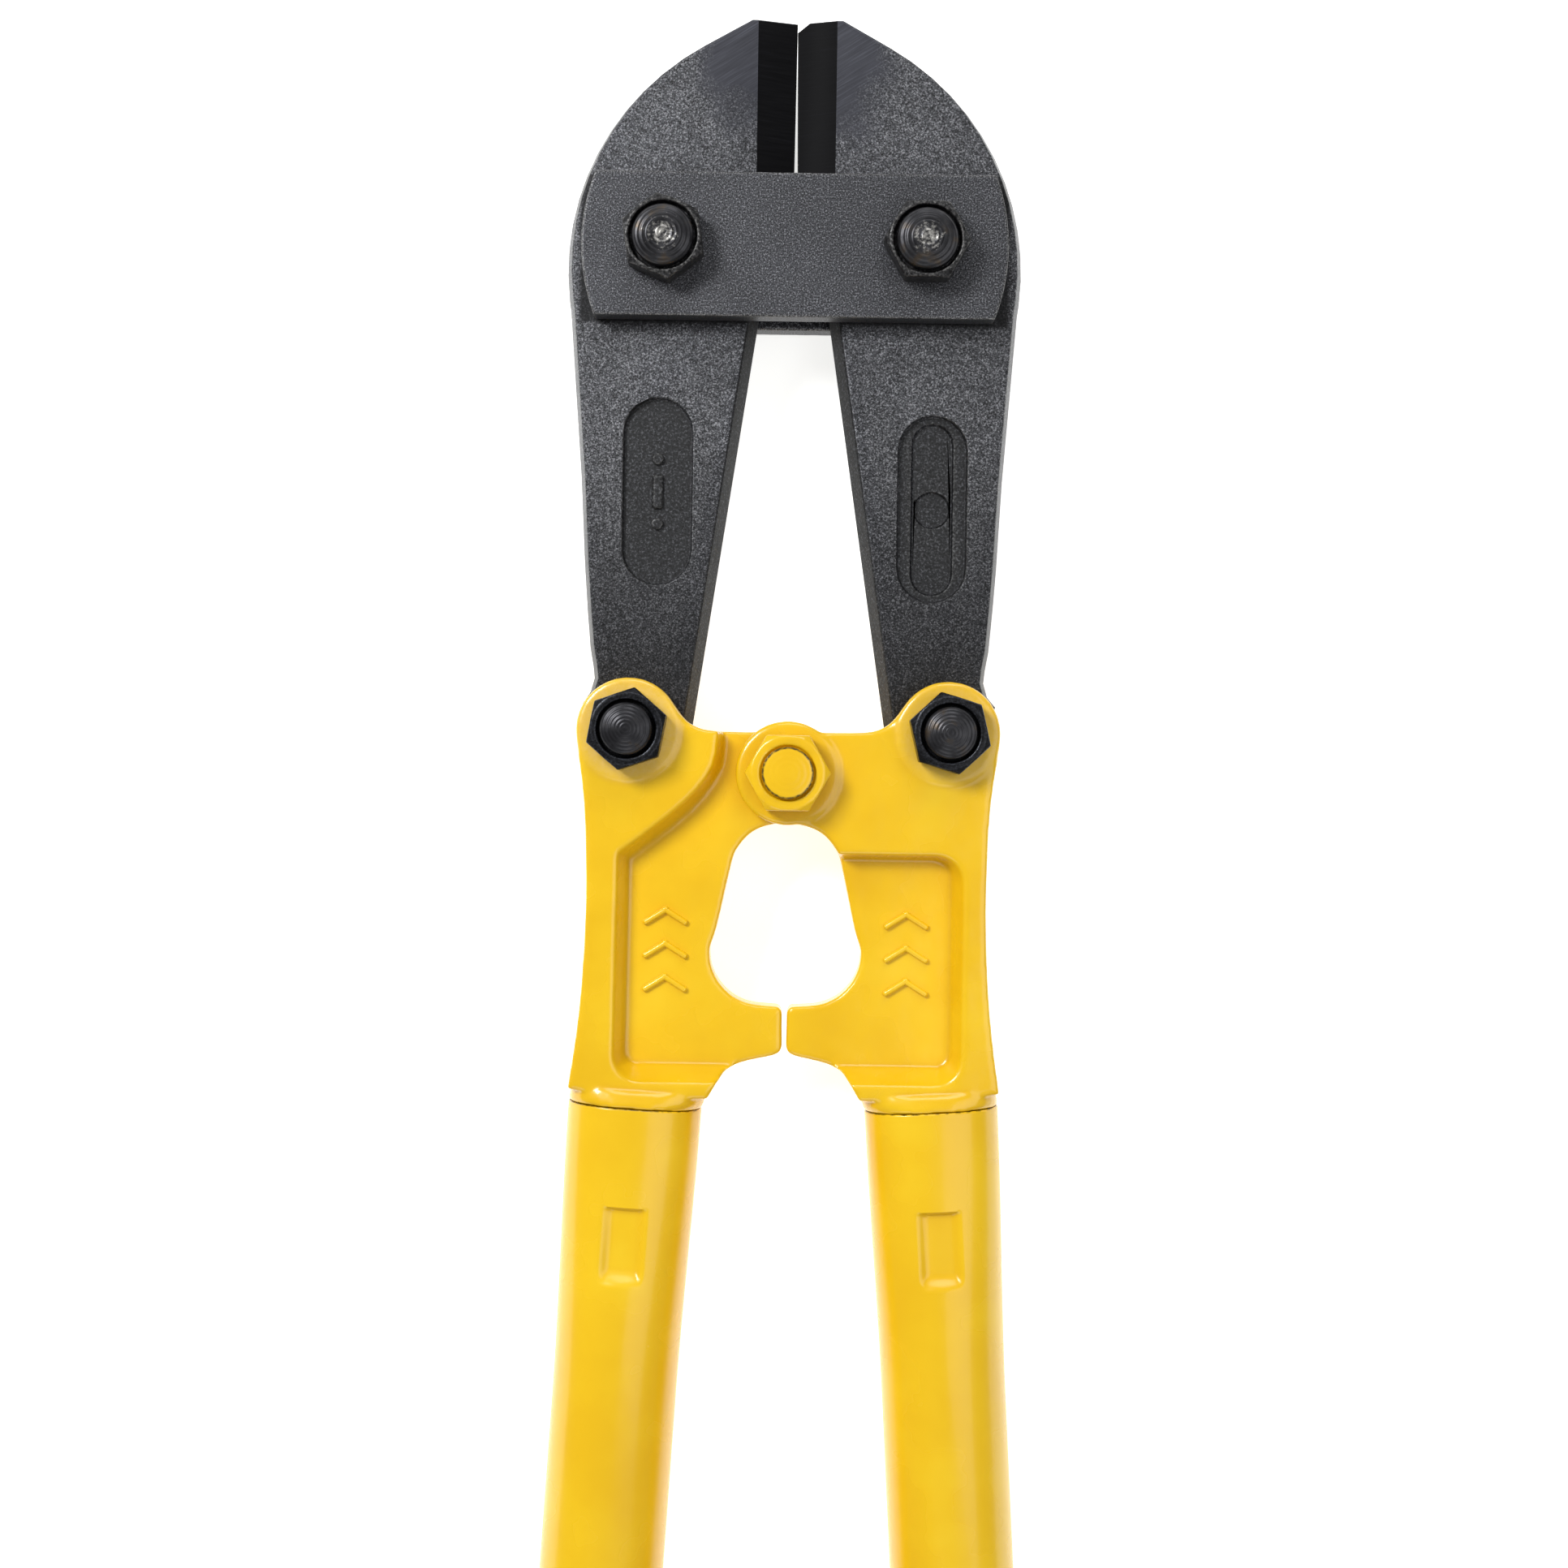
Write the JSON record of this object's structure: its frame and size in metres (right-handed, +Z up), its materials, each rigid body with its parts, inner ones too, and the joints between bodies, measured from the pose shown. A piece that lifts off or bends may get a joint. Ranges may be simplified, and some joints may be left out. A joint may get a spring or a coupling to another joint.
{
  "type": "bolt cutters",
  "caption": "Long two-handled bolt cutters: black forged jaws between strap plates, yellow forked castings and tube handles with grips, compound lever linkage.",
  "frame": {"origin": "centre of the bounding box's base, under the tool lying flat on its back with the jaws closed", "axes": "+Y along the tool from the grips to the jaw tips, +X across it to the right, +Z up out of the front face with the nuts"},
  "size_m": [0.1892, 0.9, 0.0444],
  "materials": {
    "black_forging": "forged steel with a rough black oxide skin",
    "black_plate": "rolled steel plate, black oxide",
    "black_fastener": "black oxide bolts and nuts",
    "yellow_casting": "glossy yellow enamel over forged steel",
    "yellow_tube": "glossy yellow enamel over steel tube",
    "yellow_fastener": "bolt and nut painted over in yellow",
    "black_grip": "soft black PVC sleeve, satin"
  },
  "bodies": {
    "head": {"strap_plate_front": "black_plate", "strap_plate_rear": "black_plate", "strap_bolt_left": "black_fastener", "strap_bolt_right": "black_fastener", "strap_nut_left": "black_fastener", "strap_nut_right": "black_fastener"},
    "blade_left": {"blade_left": "black_forging"},
    "blade_right": {"blade_right": "black_forging"},
    "handle_left": {"handle_casting_left": "yellow_casting", "handle_tube_left": "yellow_tube", "grip_left": "black_grip", "link_bolt_left": "black_fastener", "link_nut_left": "black_fastener"},
    "handle_right": {"handle_casting_right": "yellow_casting", "handle_tube_right": "yellow_tube", "grip_right": "black_grip", "link_bolt_right": "black_fastener", "link_nut_right": "black_fastener", "centre_bolt": "yellow_fastener", "centre_nut": "yellow_fastener"}
  },
  "joints": [
    {"name": "blade_left_pivot", "type": "hinge", "parent": "head", "child": "blade_left", "pos_m": [-0.0333, 0.3903, 0.02], "axis": [0, 0, 1], "range_deg": [0, 9.6]},
    {"name": "blade_right_pivot", "type": "hinge", "parent": "head", "child": "blade_right", "pos_m": [0.0333, 0.3903, 0.02], "axis": [0, 0, -1], "range_deg": [0, 9.6]},
    {"name": "handle_left_pivot", "type": "hinge", "parent": "blade_left", "child": "handle_left", "pos_m": [-0.0408, 0.2662, 0.02], "axis": [0, 0, -1], "range_deg": [0, 59.5]},
    {"name": "handle_right_pivot", "type": "hinge", "parent": "blade_right", "child": "handle_right", "pos_m": [0.0408, 0.2662, 0.02], "axis": [0, 0, 1], "range_deg": [0, 59.5]}
  ],
  "couplings": [
    {"joint": "handle_right_pivot", "follows": "handle_left_pivot", "ratio": 1},
    {"joint": "blade_left_pivot", "follows": "handle_left_pivot", "ratio": 0.1597},
    {"joint": "blade_right_pivot", "follows": "handle_left_pivot", "ratio": 0.1597}
  ]
}
